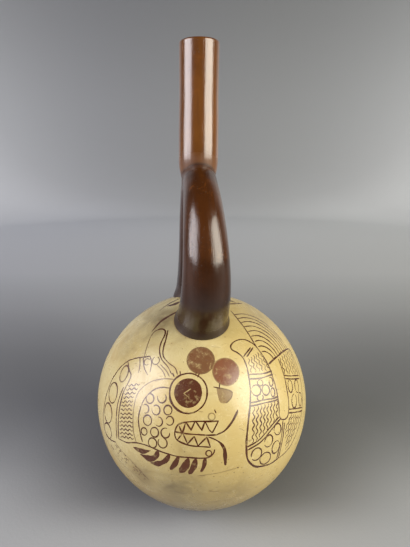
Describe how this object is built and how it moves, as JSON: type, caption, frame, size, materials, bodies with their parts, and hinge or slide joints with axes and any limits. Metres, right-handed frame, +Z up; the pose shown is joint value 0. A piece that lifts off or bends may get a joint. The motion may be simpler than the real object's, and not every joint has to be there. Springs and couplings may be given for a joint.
{
  "type": "stirrup spout vessel",
  "caption": "Hollow clay ball on a small flat base, with an arched hollow tube as its handle and an upright spout on the arch's crown.",
  "frame": {"origin": "centre of the flat base that the vessel stands on", "axes": "+Z up along the spout, -Y towards the painted front where one foot of the arch stands, +X to the right seen from there"},
  "size_m": [0.14, 0.14, 0.2823],
  "materials": {
    "cream_slip": "burnished slip with a satin sheen, fine lines painted in dark brown slip, smoky stains and small scratches",
    "red_slip": "dark red-brown slip on the arch and spout, burnished glossy along their length, worn to a lighter brown"
  },
  "bodies": {
    "root": {"vessel": "cream_slip"}
  },
  "joints": []
}
